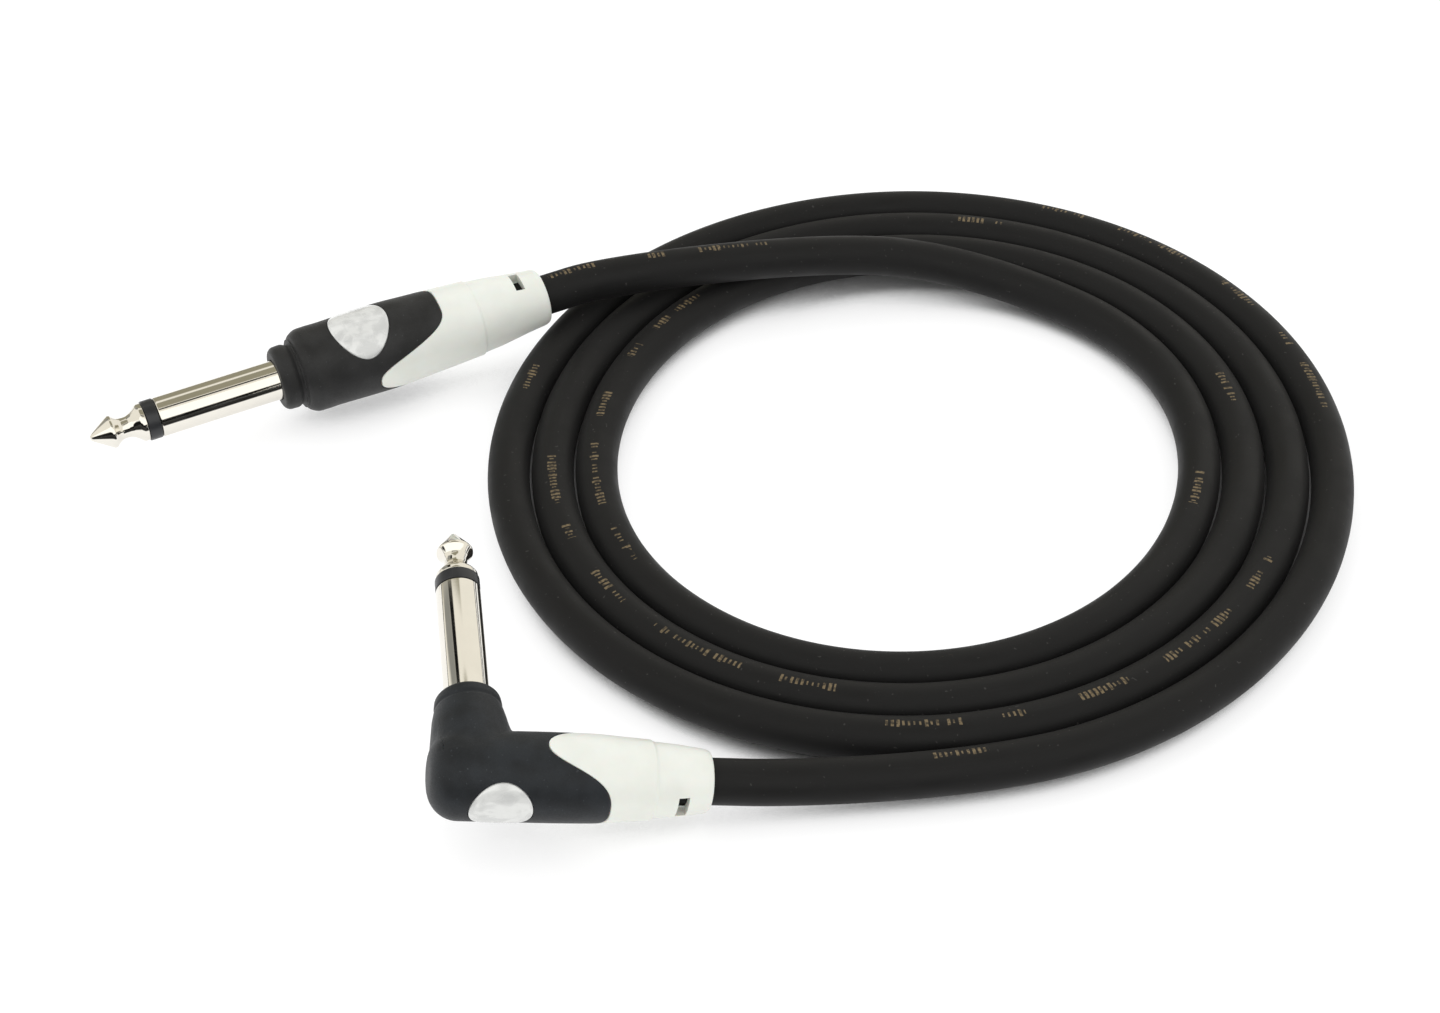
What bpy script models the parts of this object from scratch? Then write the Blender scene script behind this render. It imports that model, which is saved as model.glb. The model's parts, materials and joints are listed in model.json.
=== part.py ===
"""Coiled instrument cable: a shielded cable with a straight and a right-angle 6.35 mm phone plug.

Metres, +Z up. The origin is the middle of the whole cable's footprint, on the floor. The cable
is cut where it flexes: each piece belongs to one rigid body, and a short flexing sleeve bridges
each cut.
"""

from math import cos, pi, radians, sin

import bmesh
import bpy
from mathutils import Matrix, Vector

MM = 0.001

# Cable cross-section, from the jacket inwards: radii to the corners of each layer.
JACKET_RADIUS = 3.25 * MM
JACKET_WALL = 0.80 * MM
SHIELD_RADIUS = 2.25 * MM
SHIELD_WALL = 0.20 * MM
CORE_RADIUS = 1.90 * MM
CORE_WALL = 0.90 * MM
CONDUCTOR_RADIUS = 0.70 * MM
JACKET_SIDES = 12
LAYER_SIDES = 6

# Coil: a flat, slightly oval spiral, measured in turns from the near side (-Y), anticlockwise.
COIL_CENTRE = Vector((29.3241, 7.5671, 0.0)) * MM
COIL_RADIUS = 69.3 * MM
COIL_PITCH = 6.76 * MM
COIL_OVAL = (-0.035, 0.023)
POINTS_PER_TURN = 20
REST_HEIGHT = JACKET_RADIUS * cos(pi / JACKET_SIDES)
ANGLED_LEAVES_AT = 0.05
UNWIND_AT = 0.50
LIFT_AT = 3.40
STRAIGHT_LEAVES_AT = 3.50
RISE_ENDS_AT = 3.58
RISE = 6.95 * MM

# Flexing sleeves: half their length, the slit between neighbouring jacket pieces, and how far
# the layers inside stop short of each hinge.
FLEX_HALF = 4.0 * MM
SLIT = 0.10 * MM
HINGE_OPENING = 1.2 * MM

# Outside a plug the cable runs straight for a while; its hinge is a little further out.
STRAIGHT_RUN = 5.5 * MM
PLUG_HINGE_OUT = 11.0 * MM
TAIL_INSIDE = 36.0 * MM

# 6.35 mm phone plug, measured from its shoulder towards the tip.
PIN_RADIUS = 3.175 * MM
PIN_LENGTH = 30.5 * MM
SLEEVE_TOP = 19.6 * MM
RING_TOP = 21.6 * MM
ROD_RADIUS = 1.20 * MM
TUBE_RADIUS = 1.80 * MM
FIT_GAP = 0.10 * MM

# Straight plug: where the cable enters it, and how its handle lies.
STRAIGHT_EXIT = COIL_CENTRE + Vector((-58.2, 32.7, 10.0)) * MM
STRAIGHT_YAW = radians(24.8)
STRAIGHT_DROOP = radians(3.6)
STRAIGHT_LENGTH = 45.4 * MM
STRAIGHT_BADGE_ANGLE = radians(82)

# Right-angle plug: its handle climbs a little off the floor and its pin points back, nearly level.
ANGLED_EXIT = COIL_CENTRE + Vector((-30.9, -75.6, 5.2)) * MM
ANGLED_YAW = radians(8.6)
ANGLED_DROOP = radians(-10.0)
ANGLED_LENGTH = 38.3 * MM
ANGLED_BADGE_ANGLE = radians(-9)
ANGLED_PIN_AT = 6.2 * MM
NECK_HEIGHT = 13.0 * MM

# How the handles are built: a rigid shell, a grip skin over its front, a badge let into the grip.
PIN_BORE = PIN_RADIUS + FIT_GAP + 0.05 * MM
CABLE_BORE = 3.4 * MM
PARTING_GAP = 0.05 * MM
BADGE_PROUD = 0.15 * MM
BADGE_GAP = 0.15 * MM
NOSE_AT = -0.9 * MM
NOSE_HALF = 7.1 * MM
REACH = 10 * MM
TURNED_STEPS = 20
PIN_STEPS = 16
OVAL_POINTS = 20


# ---------------------------------------------------------------- scene and materials

def clear_scene():
    for item in list(bpy.data.objects):
        bpy.data.objects.remove(item, do_unlink=True)


def collection(name):
    group = bpy.data.collections.new(name)
    bpy.context.scene.collection.children.link(group)
    return group


def material(name, colour, roughness, metallic=0.0):
    made = bpy.data.materials.new(name)
    made.use_nodes = True
    shader = made.node_tree.nodes["Principled BSDF"]
    shader.inputs["Base Color"].default_value = (*colour, 1.0)
    shader.inputs["Roughness"].default_value = roughness
    shader.inputs["Metallic"].default_value = metallic
    made.diffuse_color = (*colour, 1.0)
    return made


clear_scene()
PARTS = collection("instrument_cable")
CUTTERS = collection("cutters")

RUBBER = material("jacket_rubber", (0.018, 0.018, 0.017), 0.62)
COPPER = material("copper", (0.72, 0.36, 0.20), 0.35, 1.0)
POLYTHENE = material("core_polythene", (0.80, 0.80, 0.76), 0.45)
NICKEL = material("nickel", (0.80, 0.78, 0.73), 0.16, 1.0)
TINNED = material("tinned_steel", (0.62, 0.61, 0.58), 0.35, 1.0)
SOLDER = material("solder", (0.55, 0.55, 0.56), 0.30, 1.0)
INSULATOR = material("black_insulator", (0.02, 0.02, 0.022), 0.35)
GRIP = material("grip_elastomer", (0.022, 0.025, 0.028), 0.55)
SHELL = material("shell_plastic", (0.82, 0.83, 0.79), 0.35)
BADGE = material("badge_plastic", (0.78, 0.79, 0.78), 0.25)


# ---------------------------------------------------------------- shapes

def place(obj, parent, look):
    PARTS.objects.link(obj)
    obj.parent = parent
    obj.data.materials.append(look)
    return obj


def as_cutter(obj, parent):
    CUTTERS.objects.link(obj)
    obj.parent = parent
    obj.hide_render = True
    obj.display_type = "WIRE"
    return obj


def turned(name, profile, steps, closed=False):
    """A profile of (radius, height) points, outer side top to bottom, turned about local Z."""
    mesh = bpy.data.meshes.new(name)
    points = [(radius, 0.0, height) for radius, height in profile]
    edges = [(i, i + 1) for i in range(len(points) - 1)]
    if closed:
        edges.append((len(points) - 1, 0))
    mesh.from_pydata(points, edges, [])
    obj = bpy.data.objects.new(name, mesh)
    screw = obj.modifiers.new("turn", "SCREW")
    screw.steps = steps
    screw.render_steps = steps
    screw.use_merge_vertices = True
    screw.merge_threshold = 0.00001
    screw.use_smooth_shade = False
    return obj


def tube_profile(outer, inner, top, bottom):
    return [(outer, top), (outer, bottom), (inner, bottom), (inner, top)]


def tube(name, outer, inner, top, bottom, steps=PIN_STEPS):
    return turned(name, tube_profile(outer, inner, top, bottom), steps, closed=True)


def rod(name, radius, top, bottom, steps=PIN_STEPS):
    return turned(name, [(0, top), (radius, top), (radius, bottom), (0, bottom)], steps)


def prism(name, outline, depth, parent, spin):
    """A cutter: a flat outline extruded by depth to both sides, turned into place by spin."""
    curve = bpy.data.curves.new(name, "CURVE")
    curve.dimensions = "2D"
    curve.fill_mode = "BOTH"
    curve.extrude = depth
    spline = curve.splines.new("POLY")
    spline.points.add(len(outline) - 1)
    for point, (x, y) in zip(spline.points, outline):
        point.co = (x, y, 0, 1)
    spline.use_cyclic_u = True
    flat = bpy.data.objects.new(name + "_outline", curve)
    CUTTERS.objects.link(flat)
    bpy.context.view_layer.update()
    mesh = bpy.data.meshes.new_from_object(flat.evaluated_get(bpy.context.evaluated_depsgraph_get()))
    bpy.data.objects.remove(flat, do_unlink=True)
    work = bmesh.new()
    work.from_mesh(mesh)
    bmesh.ops.remove_doubles(work, verts=work.verts, dist=0.000001)
    bmesh.ops.recalc_face_normals(work, faces=work.faces)
    work.to_mesh(mesh)
    work.free()
    mesh.name = name
    obj = as_cutter(bpy.data.objects.new(name, mesh), parent)
    obj.matrix_local = spin
    return obj


def box(name, size, centre):
    """A box of the given size, placed at centre."""
    mesh = bpy.data.meshes.new(name)
    work = bmesh.new()
    bmesh.ops.create_cube(work, size=1.0)
    bmesh.ops.scale(work, vec=size, verts=work.verts)
    work.to_mesh(mesh)
    work.free()
    obj = bpy.data.objects.new(name, mesh)
    obj.location = centre
    return obj


def twisted(obj, angle):
    """Turns a round cutter about its own axis, so that its edges don't line up with others."""
    obj.matrix_local = Matrix.Rotation(radians(angle), 4, "Z")
    return obj


def boolean(obj, operation, other):
    step = obj.modifiers.new(operation.lower() + "_" + other.name, "BOOLEAN")
    step.operation = operation
    step.solver = "EXACT"
    step.object = other
    return obj


def frame(name, origin, along, towards):
    """An empty with local Z along one direction and local X as near as possible to another."""
    z_axis = along.normalized()
    y_axis = z_axis.cross(towards).normalized()
    x_axis = y_axis.cross(z_axis)
    empty = bpy.data.objects.new(name, None)
    turn = Matrix((x_axis, y_axis, z_axis)).transposed().to_4x4()
    empty.matrix_world = Matrix.Translation(origin) @ turn
    PARTS.objects.link(empty)
    return empty


# ---------------------------------------------------------------- cable route

def coil_point(turns):
    angle = 2 * pi * turns - pi / 2
    oval = 1 + COIL_OVAL[0] * cos(2 * angle) + COIL_OVAL[1] * sin(2 * angle)
    radius = COIL_RADIUS * oval - COIL_PITCH * turns
    rise = (turns - LIFT_AT) / (RISE_ENDS_AT - LIFT_AT)
    rise = min(1.0, max(0.0, rise))
    height = REST_HEIGHT + RISE * rise * rise * (3 - 2 * rise)
    return COIL_CENTRE + Vector((radius * cos(angle), radius * sin(angle), height))


def coil_direction(turns):
    step = 0.001
    return (coil_point(turns + step) - coil_point(turns - step)).normalized()


def bend(start, start_way, start_reach, end, end_way, end_reach, count):
    """Points of a cubic curve that leaves start and reaches end along the given ways."""
    first = start + start_way * start_reach
    second = end - end_way * end_reach
    points = []
    for i in range(count + 1):
        t = i / count
        u = 1 - t
        points.append(start * u**3 + first * 3 * u * u * t + second * 3 * u * t * t + end * t**3)
    return points


def heading(yaw, droop):
    """The way from a plug's cable entry to its far end: -X, turned by yaw, falling by droop."""
    return Vector((-cos(yaw) * cos(droop), -sin(yaw) * cos(droop), -sin(droop)))


STRAIGHT_WAY = heading(STRAIGHT_YAW, STRAIGHT_DROOP)
ANGLED_WAY = heading(ANGLED_YAW, ANGLED_DROOP)


def measured(points):
    """Pairs of distance along the points and point."""
    walked = 0.0
    rows = [(0.0, points[0])]
    for before, after in zip(points, points[1:]):
        walked += (after - before).length
        rows.append((walked, after))
    return rows


def grid_turns(start, end):
    first = int(start * POINTS_PER_TURN + 0.999)
    last = int(end * POINTS_PER_TURN + 0.001)
    return [i / POINTS_PER_TURN for i in range(first, last + 1)]


def route_points():
    """The cable's centre line from inside the right-angle plug to inside the straight plug."""
    angled_tail = [ANGLED_EXIT + ANGLED_WAY * TAIL_INSIDE, ANGLED_EXIT]
    angled_run_end = ANGLED_EXIT - ANGLED_WAY * STRAIGHT_RUN
    angled_lead = bend(angled_run_end, -ANGLED_WAY, 6 * MM, coil_point(ANGLED_LEAVES_AT),
                       coil_direction(ANGLED_LEAVES_AT), 17 * MM, 5)
    coil = [coil_point(turns) for turns in grid_turns(ANGLED_LEAVES_AT, STRAIGHT_LEAVES_AT)]
    straight_run_start = STRAIGHT_EXIT - STRAIGHT_WAY * STRAIGHT_RUN
    straight_lead = bend(coil_point(STRAIGHT_LEAVES_AT), coil_direction(STRAIGHT_LEAVES_AT), 14 * MM,
                         straight_run_start, STRAIGHT_WAY, 8 * MM, 5)
    straight_tail = [STRAIGHT_EXIT, STRAIGHT_EXIT + STRAIGHT_WAY * TAIL_INSIDE]
    return angled_tail + angled_lead[:-1] + coil + straight_lead[1:] + straight_tail


ROUTE = measured(route_points())


def station(point):
    """How far along the route one of its own points is."""
    return min(ROUTE, key=lambda row: (row[1] - point).length)[0]


def route_between(start, end):
    """The route's points from one distance to another, cut exactly at both."""
    def at(distance):
        for (low, before), (high, after) in zip(ROUTE, ROUTE[1:]):
            if low <= distance <= high:
                return before.lerp(after, (distance - low) / (high - low))
        raise ValueError("outside the route")
    inner = [point for walked, point in ROUTE if start + 0.3 * MM < walked < end - 0.3 * MM]
    return [at(start)] + inner + [at(end)]


ANGLED_EXIT_AT = station(ANGLED_EXIT)
STRAIGHT_EXIT_AT = station(STRAIGHT_EXIT)
HINGES = {
    "angled_plug": ANGLED_EXIT_AT + PLUG_HINGE_OUT,
    "angled_lead": station(coil_point(ANGLED_LEAVES_AT)),
    "outer_turn": station(coil_point(UNWIND_AT)),
    "straight_lead": station(coil_point(LIFT_AT)),
    "straight_plug": STRAIGHT_EXIT_AT - PLUG_HINGE_OUT,
}


def swept(name, points, radius, sides, wall, look):
    """A layer of the cable: a polygonal tube or rod along the points, a flat side downwards."""
    curve = bpy.data.curves.new(name, "CURVE")
    curve.dimensions = "3D"
    curve.twist_mode = "Z_UP"
    curve.bevel_depth = radius
    curve.bevel_resolution = sides // 2 - 2
    curve.use_fill_caps = wall == 0
    spline = curve.splines.new("POLY")
    spline.points.add(len(points) - 1)
    for point, place_at in zip(spline.points, points):
        point.co = (*place_at, 1)
        point.tilt = pi / sides
    obj = place(bpy.data.objects.new(name, curve), None, look)
    if wall:
        shell = obj.modifiers.new("wall", "SOLIDIFY")
        shell.thickness = wall
        shell.offset = -1
        shell.use_even_offset = True
    return obj


LAYERS = (
    ("jacket", JACKET_RADIUS, JACKET_SIDES, JACKET_WALL, RUBBER),
    ("shield", SHIELD_RADIUS, LAYER_SIDES, SHIELD_WALL, COPPER),
    ("core", CORE_RADIUS, LAYER_SIDES, CORE_WALL, POLYTHENE),
    ("conductor", CONDUCTOR_RADIUS, LAYER_SIDES, 0, COPPER),
)


def cable_piece(body, start, end):
    """All layers of one rigid length. The layers inside the jacket stop short of each hinge."""
    for layer, radius, sides, wall, look in LAYERS:
        inset = FLEX_HALF + SLIT if layer == "jacket" else HINGE_OPENING
        points = route_between(start + inset, end - inset)
        swept(body + "_" + layer, points, radius, sides, wall, look)


def make_cable():
    cable_piece("angled_lead", HINGES["angled_plug"], HINGES["angled_lead"])
    cable_piece("outer_turn", HINGES["angled_lead"], HINGES["outer_turn"])
    cable_piece("coil", HINGES["outer_turn"], HINGES["straight_lead"])
    cable_piece("straight_lead", HINGES["straight_lead"], HINGES["straight_plug"])
    for name, distance in HINGES.items():
        points = route_between(distance - FLEX_HALF, distance + FLEX_HALF)
        swept(name + "_flex", points, JACKET_RADIUS, JACKET_SIDES, JACKET_WALL, RUBBER)


def make_tail(side, exit_at, inwards, stripped):
    """The cable's end inside a plug: how deep each layer reaches; inwards is along the route."""
    for (layer, radius, sides, wall, look), depth in zip(LAYERS, stripped):
        outside = PLUG_HINGE_OUT - (FLEX_HALF + SLIT if layer == "jacket" else HINGE_OPENING)
        ends = sorted((exit_at - inwards * outside, exit_at + inwards * depth * MM))
        swept(side + "_tail_" + layer, route_between(*ends), radius, sides, wall, look)


# ---------------------------------------------------------------- pin: tip, ring and sleeve

def tip_profile(rod_end):
    """The tip's outline: cone, neck, flare, then the thin rod that runs back inside the sleeve."""
    return [
        (0.0, PIN_LENGTH),
        (0.55 * MM, PIN_LENGTH - 0.25 * MM),
        (2.60 * MM, PIN_LENGTH - 3.3 * MM),
        (2.60 * MM, PIN_LENGTH - 3.8 * MM),
        (1.72 * MM, PIN_LENGTH - 4.9 * MM),
        (1.70 * MM, PIN_LENGTH - 6.2 * MM),
        (2.50 * MM, PIN_LENGTH - 7.7 * MM),
        (3.00 * MM, PIN_LENGTH - 8.2 * MM),
        (3.00 * MM, RING_TOP + FIT_GAP),
        (ROD_RADIUS, RING_TOP + FIT_GAP),
        (ROD_RADIUS, rod_end),
        (0.0, rod_end),
    ]


def sleeve_profile(rear, flange):
    """A tube with a slightly eased front edge and, where flange is not zero, a rear flange."""
    bore = TUBE_RADIUS + FIT_GAP
    outline = [(PIN_RADIUS - 0.2 * MM, SLEEVE_TOP), (PIN_RADIUS, SLEEVE_TOP - 0.3 * MM)]
    if flange:
        outline += [(PIN_RADIUS, rear + 1.4 * MM), (flange, rear + 1.4 * MM), (flange, rear)]
    else:
        outline += [(PIN_RADIUS, rear)]
    return outline + [(bore, rear), (bore, SLEEVE_TOP)]


def make_pin(side, pin_frame, rear, flange, washer_radius, rod_end):
    """The mating part of the plug; rear is where the sleeve ends inside the handle."""
    washer_top = rear - FIT_GAP
    washer_bottom = washer_top - 0.8 * MM
    inner = ROD_RADIUS + FIT_GAP
    place(turned(side + "_tip", tip_profile(rod_end), PIN_STEPS), pin_frame, NICKEL)
    place(tube(side + "_insulator_ring", PIN_RADIUS, inner, RING_TOP, SLEEVE_TOP + FIT_GAP),
          pin_frame, INSULATOR)
    place(turned(side + "_sleeve", sleeve_profile(rear, flange), PIN_STEPS, closed=True),
          pin_frame, NICKEL)
    place(tube(side + "_insulator_tube", TUBE_RADIUS, inner, SLEEVE_TOP, rear), pin_frame, INSULATOR)
    place(tube(side + "_rear_washer", washer_radius, inner, washer_top, washer_bottom),
          pin_frame, INSULATOR)


# ---------------------------------------------------------------- handles

def from_diameters(rows):
    """Profile points (radius, height) from (distance back, diameter) in millimetres."""
    return [(across / 2 * MM, -back * MM) for back, across in rows]


def straight_outline():
    """The straight handle's outer profile, from its lip to the cable entry."""
    lip = [(0.0, 9.4), (0.5, 10.2), (2.4, 10.3), (3.1, 9.7), (3.7, 12.4)]
    body = [(5.0, 13.6), (8.5, 13.5), (13.7, 13.8), (19.0, 13.9), (23.0, 13.5), (28.0, 13.0), (33.2, 12.4)]
    rear = [(33.5, 11.9), (37.0, 11.3), (41.6, 10.0), (44.8, 9.3), (45.4, 8.7)]
    return from_diameters(lip + body + rear)


def angled_outline():
    """The right-angle handle's outer profile, from its domed end to the cable entry."""
    dome = 4.2 * MM
    body = 6.1 * MM
    points = [(0.0, 0.0)]
    for i in range(1, 6):
        angle = radians(18 * i)
        points.append((body - dome + dome * sin(angle), -dome * (1 - cos(angle))))
    rear = [(23.0, 12.0), (27.0, 11.4), (30.3, 10.9), (30.6, 10.4), (34.0, 9.8), (37.7, 8.8), (38.3, 8.3)]
    return points + from_diameters(rear)


def neck_outline():
    """The outer profile of the neck around the pin, from its lip down into the body."""
    rows = [(0.0, 8.2), (0.5, 9.1), (1.6, 9.4), (2.1, 9.1), (2.4, 9.5), (7.2, 11.2), (13.0, 11.6)]
    return [(0.0, 0.0)] + from_diameters(rows) + [(0.0, -NECK_HEIGHT)]


def wave(tip, reach, sharpness, shift, beyond=0.0):
    """Outline of the black zone from the side: the white shell's nose points forwards into it.

    The nose starts at tip, and the black zone reaches further back on both sides of it. The
    outline ends past the handle, and further on the low side by beyond.
    """
    curve = []
    for i in range(-7, 9):
        across = NOSE_AT + i * 0.93 * MM
        share = min(1.0, abs(across - NOSE_AT) / NOSE_HALF)
        curve.append((across, -(tip + reach * sin(pi / 2 * share) ** sharpness + shift)))
    side = 9 * MM
    front = 4 * MM
    low = -side - beyond
    return [(low, front), (low, curve[0][1])] + curve + [(side, curve[-1][1]), (side, front)]


def oval(centre, half_along, half_across):
    """An oval outline on the badge's side of a handle."""
    turns = [2 * pi * i / OVAL_POINTS for i in range(OVAL_POINTS)]
    return [(half_across * cos(turn), centre + half_along * sin(turn)) for turn in turns]


# Turns of a prism in a handle's frame: its outline's y runs along the handle, and it is extruded
# across the badge's direction (sideways) or along it (outwards).
SIDEWAYS = Matrix(((1, 0, 0, 0), (0, 0, -1, 0), (0, 1, 0, 0), (0, 0, 0, 1)))
OUTWARDS = Matrix(((0, 0, 1, 0), (1, 0, 0, 0), (0, 1, 0, 0), (0, 0, 0, 1)))


def ring_of(outline, first, last, inner):
    """A closed ring profile a little proud of an outline between two heights, with a plain bore."""
    def radius_at(height):
        for (r0, h0), (r1, h1) in zip(outline, outline[1:]):
            if h1 <= height <= h0 and h0 > h1:
                return r0 + (r1 - r0) * (h0 - height) / (h0 - h1)
        return outline[-1][0]
    heights = [first] + [h for _, h in outline if last < h < first] + [last]
    outside = [(radius_at(h) + BADGE_PROUD, h) for h in heights]
    return outside + [(inner, last), (inner, first)]


def make_badge(side, handle, outline, centre, half_along, half_across, inner):
    """An oval badge let into the grip; returns the cutter for its window."""
    margin = 2 * MM
    profile = ring_of(outline, centre + half_along + margin, centre - half_along - margin, inner)
    badge = place(turned(side + "_badge", profile, TURNED_STEPS, closed=True), handle, BADGE)
    depth = REACH + 1 * MM
    outwards = Matrix.Translation((depth + 1 * MM, 0, 0)) @ OUTWARDS
    edge = oval(centre, half_along, half_across)
    boolean(badge, "INTERSECT", prism(side + "_badge_edge", edge, depth, handle, outwards))
    window = oval(centre, half_along + BADGE_GAP, half_across + BADGE_GAP)
    return prism(side + "_badge_window", window, depth, handle, outwards)


def make_slot(side, handle, height):
    """The small rectangular window near the cable entry."""
    size = (4 * MM, 3.8 * MM, 1.5 * MM)
    out = 5.6 * MM
    return as_cutter(box(side + "_slot_cutter", size, (out, 0, height)), handle)


def make_straight_handle(handle):
    outline = straight_outline()
    skin = 5.5 * MM
    skin_rear = 5.2 * MM
    taper_at = -24 * MM
    grip_end = -31.5 * MM
    step = -3.4 * MM
    chamber = 4.4 * MM
    flange_seat = step - 3 * MM
    over = 9 * MM
    front = 3 * MM
    skirt_end = -34 * MM

    window = make_badge("straight", handle, outline, -14.3 * MM, 4.7 * MM, 5.6 * MM, skin + FIT_GAP)

    profile = [(r, h) for r, h in outline if h > grip_end]
    profile += [(6.3 * MM, grip_end), (skin_rear + FIT_GAP, grip_end), (skin + FIT_GAP, taper_at)]
    profile += [(skin + FIT_GAP, step + FIT_GAP), (PIN_BORE, step + FIT_GAP), (PIN_BORE, 0)]
    grip = place(turned("straight_grip", profile, TURNED_STEPS, closed=True), handle, GRIP)
    grip_wave = wave(15.1 * MM, 12.3 * MM, 3, -PARTING_GAP)
    boolean(grip, "INTERSECT", prism("straight_grip_wave", grip_wave, REACH, handle, SIDEWAYS))
    boolean(grip, "DIFFERENCE", window)

    profile = [(6.7 * MM, step)] + [(r, h) for r, h in outline if h < -5 * MM]
    profile += [(CABLE_BORE, outline[-1][1]), (CABLE_BORE, -39 * MM), (chamber, -38 * MM)]
    profile += [(chamber, flange_seat), (PIN_BORE, flange_seat), (PIN_BORE, step)]
    shell = place(turned("straight_shell", profile, TURNED_STEPS, closed=True), handle, SHELL)
    skirt = [(over, front), (over, skirt_end), (skin_rear, skirt_end), (skin_rear, grip_end)]
    skirt += [(skin, taper_at), (skin, step), (PIN_RADIUS - 0.8 * MM, step), (PIN_RADIUS - 0.8 * MM, front)]
    cutter = as_cutter(turned("straight_skin_cutter", skirt, TURNED_STEPS, closed=True), handle)
    shell_wave = wave(15.1 * MM, 12.3 * MM, 3, PARTING_GAP)
    boolean(cutter, "INTERSECT", prism("straight_shell_wave", shell_wave, REACH, handle, SIDEWAYS))
    boolean(shell, "DIFFERENCE", cutter)
    boolean(shell, "DIFFERENCE", make_slot("straight", handle, -41.2 * MM))


def make_angled_handle(handle, pin_frame):
    outline = angled_outline()
    rear_end = outline[-1][1]
    skin = 4.95 * MM
    step = -1.6 * MM
    grip_end = -26 * MM
    chamber = 4.1 * MM
    chamber_front = -2.6 * MM
    over = 9 * MM
    front = 3 * MM
    skirt_end = -33 * MM
    beyond_neck = 21 * MM
    bore_end = -NECK_HEIGHT + 2 * MM

    window = make_badge("angled", handle, outline, -9.4 * MM, 4.3 * MM, 4.15 * MM, skin + FIT_GAP)

    profile = [(r, h) for r, h in outline if h > grip_end] + [(5.8 * MM, grip_end), (0, grip_end)]
    grip = place(turned("angled_grip", profile, TURNED_STEPS), handle, GRIP)
    neck = as_cutter(turned("angled_neck", neck_outline(), TURNED_STEPS), pin_frame)
    hollow = rod("angled_grip_hollow", skin + FIT_GAP, step + FIT_GAP, skirt_end - 2 * MM, TURNED_STEPS)
    pin_bore = rod("angled_grip_bore", PIN_BORE, front, bore_end, TURNED_STEPS)
    boolean(grip, "UNION", twisted(neck, 5))
    boolean(grip, "DIFFERENCE", twisted(as_cutter(hollow, handle), 7))
    boolean(grip, "DIFFERENCE", twisted(as_cutter(pin_bore, pin_frame), 11))
    grip_wave = wave(15.5 * MM, 8.6 * MM, 2.4, -PARTING_GAP, beyond_neck)
    boolean(grip, "INTERSECT", prism("angled_grip_wave", grip_wave, REACH, handle, SIDEWAYS))
    boolean(grip, "DIFFERENCE", window)

    shell = place(turned("angled_shell", outline + [(0, rear_end)], TURNED_STEPS), handle, SHELL)
    skirt = [(0, front), (over, front), (over, skirt_end), (skin, skirt_end), (skin, step), (0, step)]
    cutter = as_cutter(turned("angled_skin_cutter", skirt, TURNED_STEPS), handle)
    shell_wave = wave(15.5 * MM, 8.6 * MM, 2.4, PARTING_GAP, beyond_neck)
    boolean(cutter, "INTERSECT", prism("angled_shell_wave", shell_wave, REACH, handle, SIDEWAYS))
    cavity = [(0, chamber_front), (chamber, chamber_front), (chamber, skirt_end)]
    cavity += [(CABLE_BORE, skirt_end - 1 * MM), (CABLE_BORE, rear_end - 4 * MM), (0, rear_end - 4 * MM)]
    cavity = as_cutter(turned("angled_cavity", cavity, TURNED_STEPS), handle)
    shell_bore = rod("angled_shell_bore", PIN_BORE, front, bore_end - 0.1 * MM, TURNED_STEPS)
    boolean(shell, "DIFFERENCE", cutter)
    boolean(shell, "DIFFERENCE", cavity)
    boolean(shell, "DIFFERENCE", as_cutter(shell_bore, pin_frame))
    boolean(shell, "DIFFERENCE", make_slot("angled", handle, -34.2 * MM))


# ---------------------------------------------------------------- inside the handles

def make_inside(side, handle, ground_lug_at, ground_out, tip_lug_at, clamp_at):
    """Solder lugs, their joints and the cable clamp, laid along the handle, each by its front end."""
    ground_size = (0.4 * MM, 2.2 * MM, 12 * MM)
    tip_size = (0.4 * MM, 2.0 * MM, 4.6 * MM)
    tip_out = -1.0 * MM
    off_lug = 0.8 * MM
    inwards = -off_lug if ground_out > 0 else off_lug
    clamp_length = 4 * MM
    ground_lug = box(side + "_ground_lug", ground_size, (ground_out, 0, ground_lug_at - ground_size[2] / 2))
    tip_lug = box(side + "_tip_lug", tip_size, (tip_out, 0, tip_lug_at - tip_size[2] / 2))
    place(ground_lug, handle, TINNED)
    place(tip_lug, handle, TINNED)
    solder(side + "_tip_joint", handle, tip_out + off_lug, tip_lug_at - 1.1 * MM)
    solder(side + "_ground_joint", handle, ground_out + inwards, ground_lug_at - 10.4 * MM)
    clamp = tube(side + "_cable_clamp", 3.85 * MM, 3.36 * MM, clamp_at, clamp_at - clamp_length, TURNED_STEPS)
    place(clamp, handle, TINNED)


def solder(name, handle, out, height):
    """A blob of solder, flattened across the lug it sits on."""
    mesh = bpy.data.meshes.new(name)
    work = bmesh.new()
    bmesh.ops.create_uvsphere(work, u_segments=8, v_segments=6, radius=0.9 * MM)
    bmesh.ops.scale(work, vec=(0.55, 0.9, 1.2), verts=work.verts)
    work.to_mesh(mesh)
    work.free()
    blob = place(bpy.data.objects.new(name, mesh), handle, SOLDER)
    blob.location = (out, 0, height)


def badge_way(way, angle):
    """Radial direction at an angle about the handle, from level towards -Y up to vertical."""
    side = Vector((0, 0, 1)).cross(way).normalized()
    if side.y > 0:
        side = -side
    up = side.cross(way).normalized()
    if up.z < 0:
        up = -up
    return side * cos(angle) + up * sin(angle)


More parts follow.
